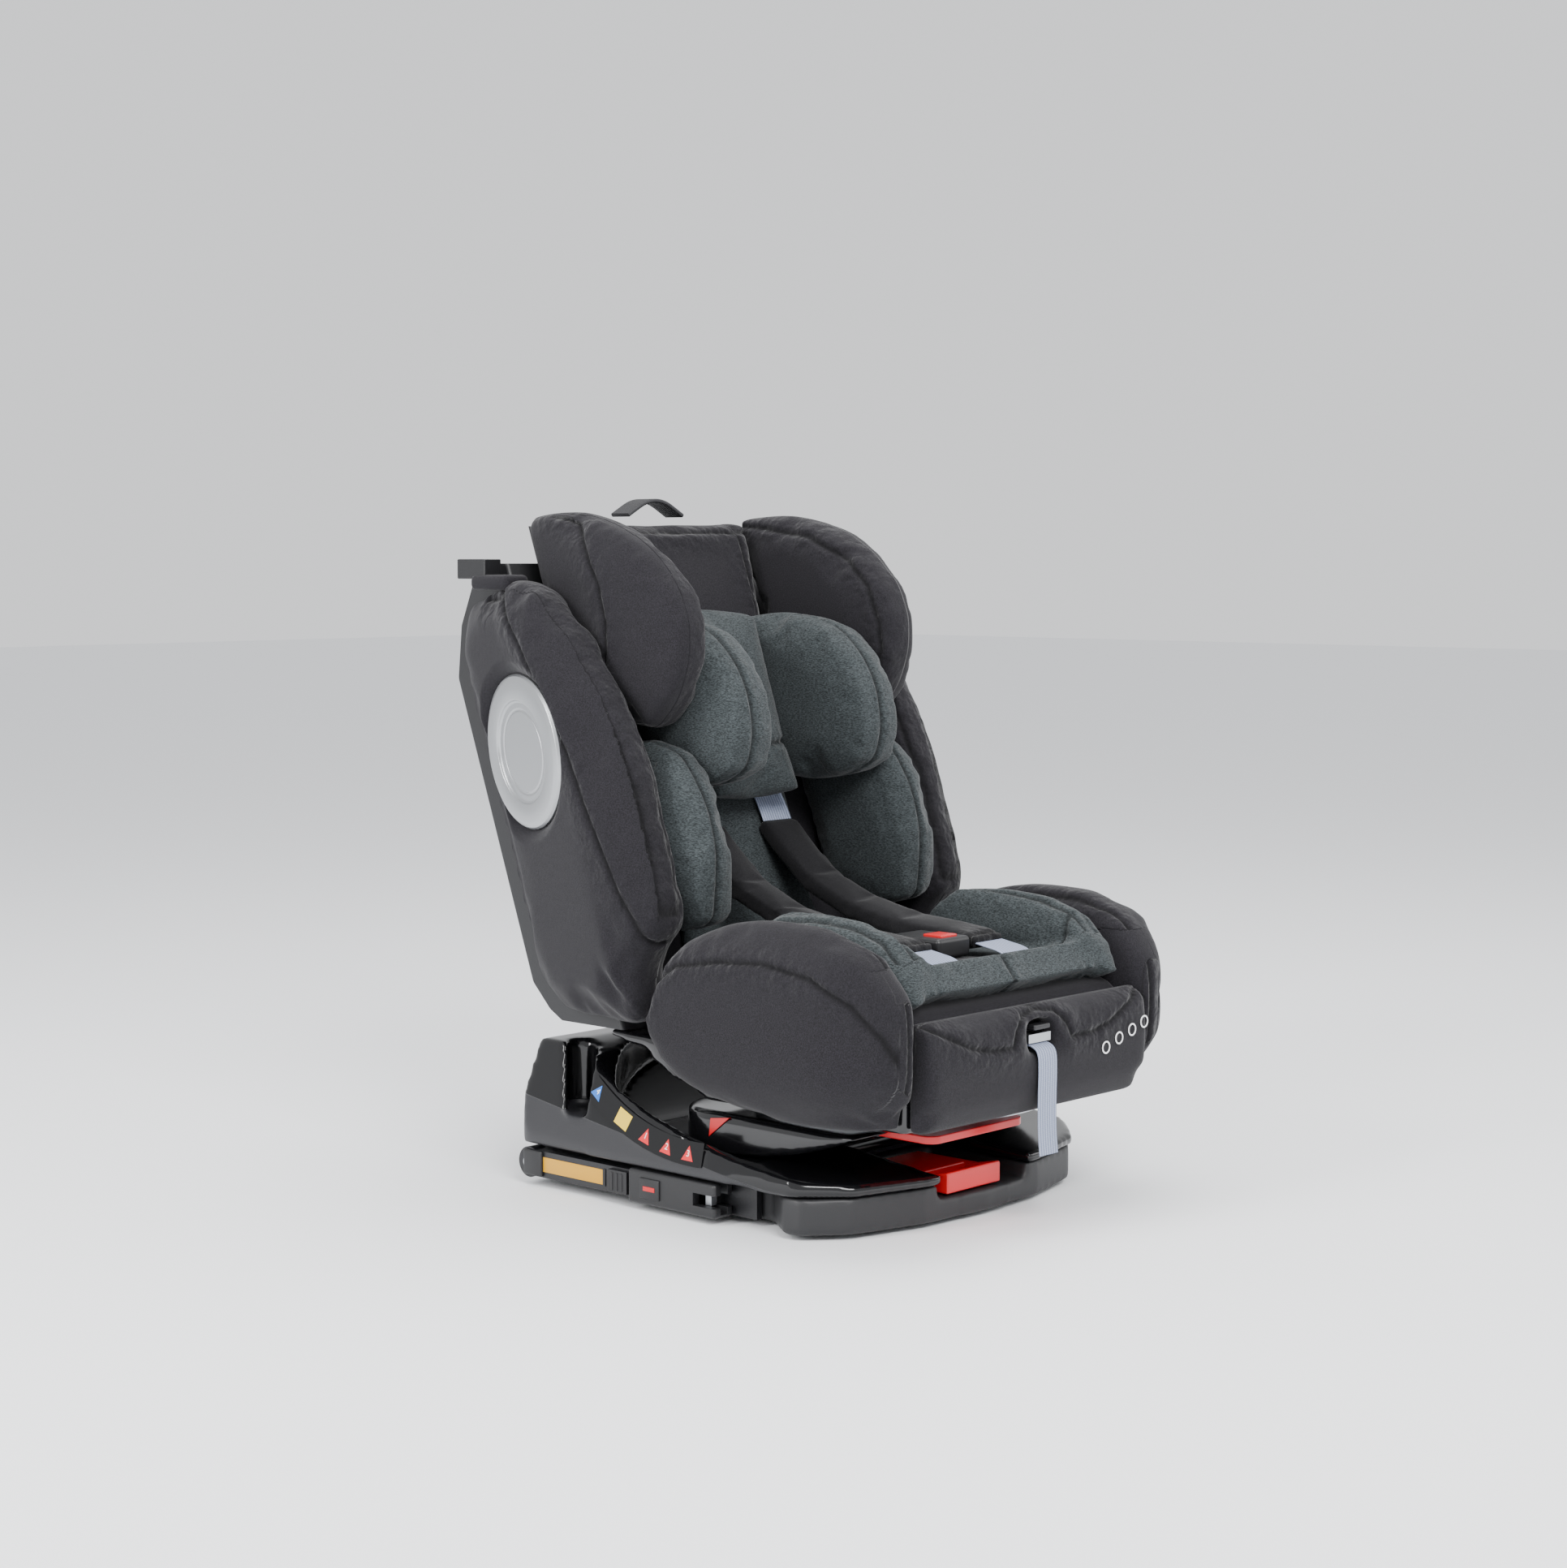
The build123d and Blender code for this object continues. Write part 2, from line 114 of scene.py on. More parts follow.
def add_node(material, kind, settings=None, **links):
    """Adds a shader node, sets its properties or sockets, and links sockets named in links."""
    node = material.node_tree.nodes.new(kind)
    for key, value in (settings or {}).items():
        if key in node.inputs:
            node.inputs[key].default_value = value
        else:
            setattr(node, key, value)
    for key, source in links.items():
        socket = node.inputs[int(key[1:])] if key[0] == "i" and key[1:].isdigit() else node.inputs[key]
        material.node_tree.links.new(source, socket)
    return node


def blank(name, roughness, colour="#808080", metallic=0.0):
    """A new material and its surface shader."""
    material = bpy.data.materials.new(name)
    material.use_nodes = True
    shader = material.node_tree.nodes["Principled BSDF"]
    shader.inputs["Base Color"].default_value = hexed(colour)
    shader.inputs["Roughness"].default_value = roughness
    shader.inputs["Metallic"].default_value = metallic
    return material, shader


# Matt white board for the floor.
board = blank("painted_floor_board", 0.9, "#f1f2f4")[0]
floor_mesh.materials.append(board)


# Seat and backrest covers: brushed charcoal jersey laminated on foam, sewn panels pulled over the shell.
# Each cover swells a little between its seams, which are pressed in afterwards and darkened with painted
# shade.
def speckled(material, coordinate, size, dark, light):
    """Fine two-tone speckle of a brushed yarn."""
    fine = add_node(material, "ShaderNodeTexNoise", {"Scale": 1 / size, "Detail": 3, "Roughness": 0.7},
                    Vector=coordinate)
    ramp = add_node(material, "ShaderNodeValToRGB", None, Fac=fine.outputs["Fac"])
    ramp.color_ramp.elements[0].position = 0.36
    ramp.color_ramp.elements[0].color = hexed(dark)
    ramp.color_ramp.elements[1].position = 0.66
    ramp.color_ramp.elements[1].color = hexed(light)
    return fine, ramp


def cloth_material(name, dark, light, size, stretch, relief):
    """Knitted cloth with painted shade darkening its seams, and puckers where the mesh says so."""
    material, shader = blank(name, 0.92)
    place = add_node(material, "ShaderNodeTexCoord")
    scaled = add_node(material, "ShaderNodeMapping", {"Scale": stretch}, Vector=place.outputs["Object"])
    fine, ramp = speckled(material, scaled.outputs["Vector"], size, dark, light)
    # Painted shade: the seam attribute multiplies the yarn colour down towards a quarter along each seam
    # groove.
    seam = add_node(material, "ShaderNodeAttribute", {"attribute_name": "seam"})
    shade = add_node(material, "ShaderNodeMix", {"data_type": "RGBA", "blend_type": "MULTIPLY"},
                     i0=seam.outputs["Fac"], i6=ramp.outputs["Color"])
    shade.inputs[7].default_value = (0.25, 0.25, 0.25, 1)
    material.node_tree.links.new(shade.outputs[2], shader.inputs["Base Color"])
    pucker = add_node(material, "ShaderNodeAttribute", {"attribute_name": "pucker"})
    folds = add_node(material, "ShaderNodeTexNoise", {"Scale": 70, "Detail": 2},
                     Vector=place.outputs["Object"])
    pulled = add_node(material, "ShaderNodeMath", {"operation": "MULTIPLY"}, i0=folds.outputs["Fac"],
                      i1=pucker.outputs["Fac"])
    bump = add_node(material, "ShaderNodeBump", {"Strength": 0.8, "Distance": 0.008},
                    Height=pulled.outputs[0])
    weave = add_node(material, "ShaderNodeBump", {"Strength": relief, "Distance": 0.0006},
                     Height=fine.outputs["Fac"], Normal=bump.outputs["Normal"])
    material.node_tree.links.new(weave.outputs["Normal"], shader.inputs["Normal"])
    shader.inputs["Sheen Weight"].default_value = 0.12
    shader.inputs["Sheen Roughness"].default_value = 0.4
    shader.inputs["Specular IOR Level"].default_value = 0.25
    return material


jersey = cloth_material("brushed_jersey_charcoal", "#0e0d10", "#242227", 0.0010, (1, 1, 1), 0.5)


def settle(piece):
    """Bakes the modifiers of a piece into its mesh."""
    graph = bpy.context.evaluated_depsgraph_get()
    baked = bpy.data.meshes.new_from_object(piece.evaluated_get(graph))
    piece.modifiers.clear()
    old = piece.data
    piece.data = baked
    bpy.data.meshes.remove(old)


def merged_copy(name, *sources):
    """New object with a welded copy of one or more CAD meshes."""
    shape = bmesh.new()
    for source in sources:
        shape.from_mesh(nodes[source].data)
    bmesh.ops.remove_doubles(shape, verts=shape.verts, dist=0.00002)
    bmesh.ops.recalc_face_normals(shape, faces=shape.faces)
    mesh = bpy.data.meshes.new(name)
    shape.to_mesh(mesh)
    shape.free()
    piece = bpy.data.objects.new(name, mesh)
    scene.collection.objects.link(piece)
    return piece


def swell(piece, pressure, limit, frames=20):
    """Blows the closed cover up a little as cloth, holding every point within the limit."""
    start = vectors(piece.data.vertices, "co")
    cloth = piece.modifiers.new("swell", "CLOTH")
    cloth.settings.use_pressure = True
    cloth.settings.uniform_pressure_force = pressure
    cloth.settings.effector_weights.gravity = 0
    cloth.settings.quality = 4
    cloth.settings.tension_stiffness = 20
    cloth.settings.bending_stiffness = 1.0
    cloth.point_cache.frame_start = 1
    cloth.point_cache.frame_end = frames
    for step in range(1, frames + 1):
        scene.frame_set(step)
    settle(piece)
    scene.frame_set(1)
    moved = vectors(piece.data.vertices, "co") - start
    length = np.maximum(np.linalg.norm(moved, axis=1), 1e-9)
    held = start + moved * np.minimum(1, limit / length)[:, None]
    piece.data.vertices.foreach_set("co", held.ravel())
    piece.data.update()


def line_distance(across, up, line):
    """Distances in a plane from many points to a chain of points."""
    best = np.full(len(across), 1e6)
    for (ax, ay), (bx, by) in zip(line, line[1:]):
        dx, dy = bx - ax, by - ay
        t = np.clip(((across - ax) * dx + (up - ay) * dy) / (dx * dx + dy * dy), 0, 1)
        best = np.minimum(best, np.hypot(across - ax - t * dx, up - ay - t * dy))
    return best


def vectors(collection, name):
    """A vector property of every item, as rows."""
    values = np.empty(len(collection) * 3, np.float32)
    collection.foreach_get(name, values)
    return values.reshape(-1, 3)


def sew(piece, seams, depth=3.0, width=2.8):
    """Presses seams into the cover; each one gives every point's distance to it, in millimetres."""
    mesh = piece.data
    points = vectors(mesh.vertices, "co")
    normals = vectors(mesh.vertex_normals, "vector")
    x, y, z = (points / MM).T
    near = np.full(len(points), 1e6)
    for seam in seams:
        near = np.minimum(near, seam(x, y, z))
    # Painted shade: the seam attribute darkens the cloth along each pressed-in seam groove.
    dark = mesh.attributes.new("seam", "FLOAT", "POINT")
    dark.data.foreach_set("value", 0.9 * np.exp(-(near / 2.2) ** 2))
    pulled = mesh.attributes.new("pucker", "FLOAT", "POINT")
    pulled.data.foreach_set("value", np.exp(-(near / 16) ** 2))
    points -= normals * (depth * MM * np.exp(-(near / width) ** 2))[:, None]
    mesh.vertices.foreach_set("co", points.ravel())
    mesh.update()


disc_spot = Vector((196.56, 183, 395)) * MM
disc_normal = Vector((1, 0.27703, -0.10083)).normalized()
flat_radius = 71 * MM
rise_run = 22 * MM
rise_height = 14 * MM


def press_under_disc(piece):
    """Holds the cover flat under the side disc and lets it rise again around the rim."""
    points = vectors(piece.data.vertices, "co")
    sign = 1 if points[:, 0].mean() > 0 else -1
    mirrored = points * (sign, 1, 1) - np.array(disc_spot)
    normal = np.array(disc_normal)
    height = mirrored @ normal
    radius = np.linalg.norm(mirrored - height[:, None] * normal, axis=1)
    allowed = -0.5 * MM + np.clip((radius - flat_radius) / rise_run, 0, 1) ** 0.6 * rise_height
    outer = height > -15 * MM
    excess = np.where(outer, np.maximum(height - allowed, 0), 0)
    points -= excess[:, None] * normal * (sign, 1, 1)
    piece.data.vertices.foreach_set("co", points.ravel())
    piece.data.update()


def upholster(name, node, body, material, cell, pressure, seams, rounds=6, smooth=2):
    """Padded cover made from a CAD solid: remeshed, rounded, swollen, refined and sewn."""
    piece = merged_copy(name, node)
    remesh = piece.modifiers.new("even", "REMESH")
    remesh.mode = "VOXEL"
    remesh.voxel_size = cell * MM
    rounder = piece.modifiers.new("round", "SMOOTH")
    rounder.factor = 0.5
    rounder.iterations = rounds
    settle(piece)
    if pressure:
        swell(piece, pressure, 9 * MM)
    finer = piece.modifiers.new("fine", "SUBSURF")
    finer.levels = finer.render_levels = smooth
    settle(piece)
    if node.startswith("back_wing"):
        press_under_disc(piece)
    sew(piece, seams)
    piece.data.materials.clear()
    piece.data.materials.append(material)
    for face in piece.data.polygons:
        face.use_smooth = True
    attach(piece, body)
    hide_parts(node)


def from_the_side(line, inner, outer=1000):
    """Seam drawn as (y, z) on the part of a cover between two distances from the middle plane."""
    return lambda x, y, z: np.where((abs(x) >= inner) & (abs(x) <= outer), line_distance(y, z, line), 1e6)


def from_the_front(line, low, high):
    """Seam drawn as (x, z) on the part of a cover between two y values."""
    return lambda x, y, z: np.where((y >= low) & (y <= high), line_distance(abs(x), z, line), 1e6)


def where(held, distance):
    """Distance to a seam on the part of a cover where the condition holds."""
    return np.where(held, distance, 1e6)


wing_arc = [(20, 180), (7, 209), (-19, 224), (-67, 232), (-118, 235), (-172, 228), (-210, 208), (-232, 183),
            (-242, 155), (-241, 100)]
back_arc = [(226, 552), (171, 492), (130, 437), (103, 398), (79, 350), (42, 283), (25, 255), (17, 225),
            (24, 195), (40, 150)]
back_rim = [(240, 530), (168, 532), (128, 500), (88, 455), (60, 410), (38, 365), (21, 313), (8, 262)]
for side in ("left", "right"):
    upholster(f"seat_cover_{side}", f"seat_wing_{side}", "seat", jersey, 7, 4,
              [from_the_side(wing_arc, 178),
               lambda x, y, z: where((z > 236) | (y < -236), abs(abs(x) - 166))], rounds=24)
    upholster(f"back_cover_{side}", f"back_wing_{side}", "seat", jersey, 8, 4,
              [from_the_side(back_arc, 180), from_the_side(back_rim, 165, 203)], rounds=22)

flap = [(0, 188), (22, 184), (34, 172), (40, 159), (70, 160), (95, 165), (125, 178), (152, 192)]
upholster("seat_cover_front", "front_panel", "seat", jersey, 5, 0,
          [from_the_front(flap, -262, -232)], rounds=10)
upholster("seat_cover_middle", "seat_cushion", "seat", jersey, 8, 0, [],
          rounds=4, smooth=1)
upholster("back_cover_middle", "back_cushion", "seat", jersey, 8, 0, [],
          rounds=2, smooth=1)
upholster("crotch_cover", "crotch_pad", "seat", jersey, 2, 0, [], rounds=2, smooth=1)
sleeve_jersey = cloth_material("smooth_jersey_black", "#09090b", "#19181b", 0.0010, (1, 1, 1), 0.4)
for side in ("left", "right"):
    upholster(f"shoulder_sleeve_{side}", f"shoulder_pad_{side}", "seat", sleeve_jersey,
              3.5, 3, [lambda x, y, z: abs(y + 143)], rounds=3, smooth=1)

# Headrest cover: the same jersey over a moulded foam panel with two deep wings.
# A seam runs round the inner face of each wing, and a gusset band along the top.
head_arc = [(192, 606), (162, 600), (146, 584), (120, 545), (110, 510), (110, 488), (116, 440)]
head_rim = [(285, 600), (198, 597), (132, 588), (84, 566), (56, 540), (42, 505), (40, 480), (52, 452),
            (80, 428)]
for side in ("left", "right"):
    upholster(f"headrest_cover_{side}", f"headrest_wing_{side}", "headrest", jersey,
              6, 4, [from_the_side(head_arc, 152), from_the_side(head_rim, 100, 146)], rounds=14)
upholster("headrest_cover_middle", "headrest_panel", "headrest", jersey, 7, 3,
          [lambda x, y, z: abs(abs(x) - 92), lambda x, y, z: abs(z - 592)], rounds=4)

# Infant insert: melange grey knit over wadding, five pieces that lie loose on the covers.
back_lean = 0.364
melange = cloth_material("melange_knit_grey", "#191d1e", "#43494b", 0.0012, (0.5, 0.5, 1.5), 0.8)
upholster("head_pillow_middle", "head_pillow", "headrest", melange, 5.5, 5,
          [lambda x, y, z: where(y < 120, abs(z - 397))], rounds=8)
for side in ("left", "right"):
    upholster(f"head_pillow_{side}", f"pillow_ear_{side}", "headrest", melange, 5, 6,
              [lambda x, y, z: where(y - (z - 350) * back_lean < 52, abs(abs(x) - 86))], rounds=8)
    upholster(f"bolster_pillow_{side}", f"bolster_insert_{side}", "seat", melange,
              5.5, 6, [lambda x, y, z: where((y < 60) | (z > 390), abs(abs(x) - 137))], rounds=7)
upholster("back_pillow", "back_insert", "seat", melange, 4, 3, [], rounds=3, smooth=1)
upholster("seat_pillow", "seat_insert", "seat", melange, 6.5, 4,
          [lambda x, y, z: where(y > -205, abs(abs(x) - 118)),
           lambda x, y, z: where(y < -186, abs(x)),
           lambda x, y, z: where((z > 196) & (abs(x) < 118), abs(y + 186)),
           lambda x, y, z: where(z > 235, abs(abs(x) - 136))], rounds=4)

# Base: injection-moulded black housing, polished on top with a textured side band under a shallow crease.
# The tray, cradle and seat shell are plain black mouldings; edges get the small radius of a mould.
gloss, gloss_shader = blank("polished_black_pp", 0.16, "#0d0d0f")
gloss_shader.inputs["Coat Weight"].default_value = 0.3
gloss_shader.inputs["Coat Roughness"].default_value = 0.08
place = add_node(gloss, "ShaderNodeTexCoord")
ripple = add_node(gloss, "ShaderNodeTexNoise", {"Scale": 9, "Detail": 1}, Vector=place.outputs["Object"])
wave = add_node(gloss, "ShaderNodeBump", {"Strength": 0.05, "Distance": 0.01}, Height=ripple.outputs["Fac"])
gloss.node_tree.links.new(wave.outputs["Normal"], gloss_shader.inputs["Normal"])


def grained(name, colour, roughness, size):
    """Spark-eroded texture of a moulded plastic."""
    material, shader = blank(name, roughness, colour)
    place = add_node(material, "ShaderNodeTexCoord")
    grain = add_node(material, "ShaderNodeTexNoise", {"Scale": 1 / size, "Detail": 2},
                     Vector=place.outputs["Object"])
    bump = add_node(material, "ShaderNodeBump", {"Strength": 0.35, "Distance": 0.0003},
                    Height=grain.outputs["Fac"])
    material.node_tree.links.new(bump.outputs["Normal"], shader.inputs["Normal"])
    return material


textured = grained("spark_eroded_black_pp", "#1b1b1d", 0.5, 0.0009)
nylon = grained("glass_filled_nylon_black", "#161618", 0.42, 0.0006)
rubber = grained("moulded_rubber_black", "#151515", 0.8, 0.001)

housing_skin, housing_shader = blank("two_finish_black_pp", 0.2, "#101012")
place = add_node(housing_skin, "ShaderNodeTexCoord")
axes = add_node(housing_skin, "ShaderNodeSeparateXYZ", None, Vector=place.outputs["Object"])
crease_rise = 0.138
crease_level = 0.0526
rise = add_node(housing_skin, "ShaderNodeMath", {"operation": "MULTIPLY_ADD"}, i0=axes.outputs["Y"])
rise.inputs[1].default_value = -crease_rise
rise.inputs[2].default_value = -crease_level
above = add_node(housing_skin, "ShaderNodeMath", {"operation": "ADD"}, i0=axes.outputs["Z"],
                 i1=rise.outputs[0])
band = add_node(housing_skin, "ShaderNodeMapRange", {"interpolation_type": "SMOOTHSTEP"},
                Value=above.outputs[0])
band.inputs["From Min"].default_value = -0.0006
band.inputs["From Max"].default_value = 0.0006
band.inputs["To Min"].default_value = 0.42
band.inputs["To Max"].default_value = 0.13
tone = add_node(housing_skin, "ShaderNodeMapRange", None, Value=band.outputs[0])
tone.inputs["From Min"].default_value = 0.13
tone.inputs["From Max"].default_value = 0.42
tone.inputs["To Min"].default_value = 0.0
tone.inputs["To Max"].default_value = 1.0
shade = add_node(housing_skin, "ShaderNodeMix", {"data_type": "RGBA"}, i0=tone.outputs[0])
shade.inputs[6].default_value = hexed("#0c0c0e")
shade.inputs[7].default_value = hexed("#232326")
grain = add_node(housing_skin, "ShaderNodeTexNoise", {"Scale": 1100, "Detail": 2},
                 Vector=place.outputs["Object"])
grained_band = add_node(housing_skin, "ShaderNodeMath", {"operation": "MULTIPLY"}, i0=grain.outputs["Fac"],
                        i1=tone.outputs[0])
step = add_node(housing_skin, "ShaderNodeMath", {"operation": "MULTIPLY_ADD"}, i0=tone.outputs[0],
                i2=grained_band.outputs[0])
step.inputs[1].default_value = -3.0
relief = add_node(housing_skin, "ShaderNodeBump", {"Strength": 0.4, "Distance": 0.0004},
                  Height=step.outputs[0])
housing_skin.node_tree.links.new(band.outputs[0], housing_shader.inputs["Roughness"])
housing_skin.node_tree.links.new(shade.outputs[2], housing_shader.inputs["Base Color"])
housing_skin.node_tree.links.new(relief.outputs["Normal"], housing_shader.inputs["Normal"])


def moulded(name, node, body, material, radius, segments=3, angle=28):
    """Hard piece from a CAD solid with the edge radius of its mould or press tool."""
    piece = merged_copy(name, node)
    shape = bmesh.new()
    shape.from_mesh(piece.data)
    bmesh.ops.dissolve_limit(shape, angle_limit=math.radians(0.6), verts=shape.verts, edges=shape.edges)
    for edge in shape.edges:
        edge.smooth = edge.calc_face_angle(0) < math.radians(angle)
    shape.to_mesh(piece.data)
    shape.free()
    rounding = piece.modifiers.new("edge_radius", "BEVEL")
    rounding.width = radius * MM
    rounding.segments = segments
    rounding.limit_method = "ANGLE"
    rounding.angle_limit = math.radians(angle)
    rounding.use_clamp_overlap = True
    rounding.harden_normals = True
    piece.data.materials.clear()
    piece.data.materials.append(material)
    for face in piece.data.polygons:
        face.use_smooth = True
    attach(piece, body)
    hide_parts(node)


def flowing(name, node, body, material, cell, rounds):
    """Large moulding with soft, flowing edges, from a CAD solid."""
    piece = merged_copy(name, node)
    remesh = piece.modifiers.new("even", "REMESH")
    remesh.mode = "VOXEL"
    remesh.voxel_size = cell * MM
    rounder = piece.modifiers.new("round", "SMOOTH")
    rounder.factor = 0.5
    rounder.iterations = rounds
    settle(piece)
    piece.data.materials.clear()
    piece.data.materials.append(material)
    for face in piece.data.polygons:
        face.use_smooth = True
    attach(piece, body)
    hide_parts(node)


flowing("housing", "base_housing", "base", housing_skin, 3.2, 8)
flowing("tray", "base_tray", "base", textured, 3.5, 4)
flowing("cradle", "recline_cradle", "cradle", gloss, 3.5, 7)
flowing("shell_seat", "seat_shell", "seat", gloss, 3.5, 8)
moulded("shell_back", "back_shell", "seat", textured, 3.0)
moulded("shell_headrest", "headrest_shell", "headrest", textured, 1.5)
nodes["base_feet"].data.materials.clear()
nodes["base_feet"].data.materials.append(rubber)

# Steel inside the base: zinc-plated swivel disc, bearing and axle, powder-coated rails and arms, and
# nylon latch housings. The pressed parts keep a small edge radius; the hidden ones keep their CAD shape.
zinc, zinc_shader = blank("zinc_plated_steel", 0.34, "#b9bcc0", 1.0)
place = add_node(zinc, "ShaderNodeTexCoord")
scaled = add_node(zinc, "ShaderNodeMapping", {"Scale": (1, 1, 30)}, Vector=place.outputs["Object"])
brush = add_node(zinc, "ShaderNodeTexNoise", {"Scale": 120, "Detail": 3}, Vector=scaled.outputs["Vector"])
lines = add_node(zinc, "ShaderNodeBump", {"Strength": 0.15, "Distance": 0.0002}, Height=brush.outputs["Fac"])
zinc.node_tree.links.new(lines.outputs["Normal"], zinc_shader.inputs["Normal"])
powder = grained("powder_coated_steel_black", "#17171a", 0.38, 0.0014)
for name in ("turntable", "bearing_ring", "isofix_axle", "harness_yoke", "adjuster_housing"):
    nodes[name].data.materials.clear()
    nodes[name].data.materials.append(zinc)
nodes["isofix_frame"].data.materials.clear()
nodes["isofix_frame"].data.materials.append(powder)
for side in ("left", "right"):
    moulded(f"arm_{side}", f"isofix_arm_{side}", f"isofix_arm_{side}", powder, 1.0)
    moulded(f"connector_{side}", f"isofix_connector_{side}", f"isofix_arm_{side}", nylon, 0.8, 2)
    moulded(f"hook_{side}", f"isofix_hook_{side}", f"isofix_hook_{side}", zinc, 0.4, 2)
    moulded(f"release_{side}", f"isofix_release_{side}", f"isofix_release_{side}", nylon, 0.4, 2)

# Arm trims: a printed yellow strip with a black end, and a red tell-tale in a black bezel on each
# latch housing. The strip's end stops short of the release slider, which comes back 6 mm when opened.
def block(name, x, y, z, radius, material, body):
    """Rounded block between limits in millimetres."""
    shape = bmesh.new()
    bmesh.ops.create_cube(shape, size=1)
    size = Vector((x[1] - x[0], y[1] - y[0], z[1] - z[0])) * MM
    bmesh.ops.scale(shape, vec=size, verts=shape.verts)
    middle = Vector((x[0] + x[1], y[0] + y[1], z[0] + z[1])) * MM / 2
    bmesh.ops.translate(shape, vec=middle, verts=shape.verts)
    bmesh.ops.bevel(shape, geom=shape.edges, affect="EDGES", offset=radius * MM, segments=3, profile=0.5,
                    material=-1)
    for face in shape.faces:
        face.smooth = True
    mesh = bpy.data.meshes.new(name)
    shape.to_mesh(mesh)
    shape.free()
    piece = bpy.data.objects.new(name, mesh)
    scene.collection.objects.link(piece)
    mesh.materials.append(material)
    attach(piece, body)


yellow, yellow_shader = blank("printed_film_yellow", 0.35, "#c8931c")
place = add_node(yellow, "ShaderNodeTexCoord")
screen = add_node(yellow, "ShaderNodeTexNoise", {"Scale": 2200, "Detail": 0}, Vector=place.outputs["Object"])
print_relief = add_node(yellow, "ShaderNodeBump", {"Strength": 0.05, "Distance": 0.0001},
                        Height=screen.outputs["Fac"])
yellow.node_tree.links.new(print_relief.outputs["Normal"], yellow_shader.inputs["Normal"])
telltale, telltale_shader = blank("telltale_red_pc", 0.2, "#c4161c")
place = add_node(telltale, "ShaderNodeTexCoord")
screen = add_node(telltale, "ShaderNodeTexNoise", {"Scale": 900, "Detail": 0},
                  Vector=place.outputs["Object"])
lens = add_node(telltale, "ShaderNodeBump", {"Strength": 0.05, "Distance": 0.0001},
                Height=screen.outputs["Fac"])
telltale.node_tree.links.new(lens.outputs["Normal"], telltale_shader.inputs["Normal"])
for side, sign in (("left", -1), ("right", 1)):
    body = f"isofix_arm_{side}"

    def outward(low, high):
        return (min(sign * low, sign * high), max(sign * low, sign * high))

    block(f"arm_strip_{side}", outward(185.8, 186.5), (98, 176), (14.5, 28), 0.3, yellow, body)
    block(f"arm_strip_end_{side}", outward(185.8, 186.9), (94.6, 98), (13.5, 29), 0.4, nylon, body)
    block(f"arm_block_{side}", outward(184.5, 189), (176, 200), (10, 33), 1.5, nylon, body)
    block(f"connector_bezel_{side}", outward(190.2, 192.6), (22, 46), (12, 30), 1.0, nylon, body)
    block(f"connector_telltale_{side}", outward(192.2, 193.1), (27, 41), (19, 23), 0.3, telltale, body)

# Red handles: glossy moulded ABS, for the recline wedge in the notch, the swivel strip under the seat
# and the buckle button. The adjuster button and the buckle case are black nylon.
red, red_shader = blank("moulded_red_abs", 0.28, "#c4161c")
place = add_node(red, "ShaderNodeTexCoord")
flow = add_node(red, "ShaderNodeTexNoise", {"Scale": 60, "Detail": 1}, Vector=place.outputs["Object"])
skin = add_node(red, "ShaderNodeBump", {"Strength": 0.05, "Distance": 0.0005}, Height=flow.outputs["Fac"])
red.node_tree.links.new(skin.outputs["Normal"], red_shader.inputs["Normal"])
moulded("handle_recline", "recline_lever", "recline_lever", red, 1.5)
moulded("handle_swivel", "swivel_lever", "swivel_lever", red, 1.2)
moulded("button_buckle", "buckle_button", "buckle_button", red, 0.8)
moulded("button_adjuster", "adjuster_button", "adjuster_button", nylon, 0.5)
moulded("buckle_case", "buckle", "seat", nylon, 1.0)
nodes["recline_pointer"].data.materials.clear()
nodes["recline_pointer"].data.materials.append(red)

# Side discs: satin silver painted ABS turned about the normal of the bolster, with a bevelled rim,
# a flat ring, a stepped edge and a sunk middle with one fine groove round it.
silver, silver_shader = blank("satin_silver_paint", 0.33, "#a9abad", 0.85)
place = add_node(silver, "ShaderNodeTexCoord")
flake = add_node(silver, "ShaderNodeTexNoise", {"Scale": 1800, "Detail": 1}, Vector=place.outputs["Object"])
sparkle = add_node(silver, "ShaderNodeBump", {"Strength": 0.12, "Distance": 0.0002},
                   Height=flake.outputs["Fac"])
silver.node_tree.links.new(sparkle.outputs["Normal"], silver_shader.inputs["Normal"])
disc_outline = [(0, 3.2), (36, 3.2), (37, 2.5), (38.4, 2.5), (39.4, 3.2), (44.5, 3.3), (46, 4.2), (47, 5.9),
                (48.5, 6.4), (62.5, 6.6), (64, 6.2), (68, 4.6), (70, 2.2), (70, 0.1), (0, 0.1)]
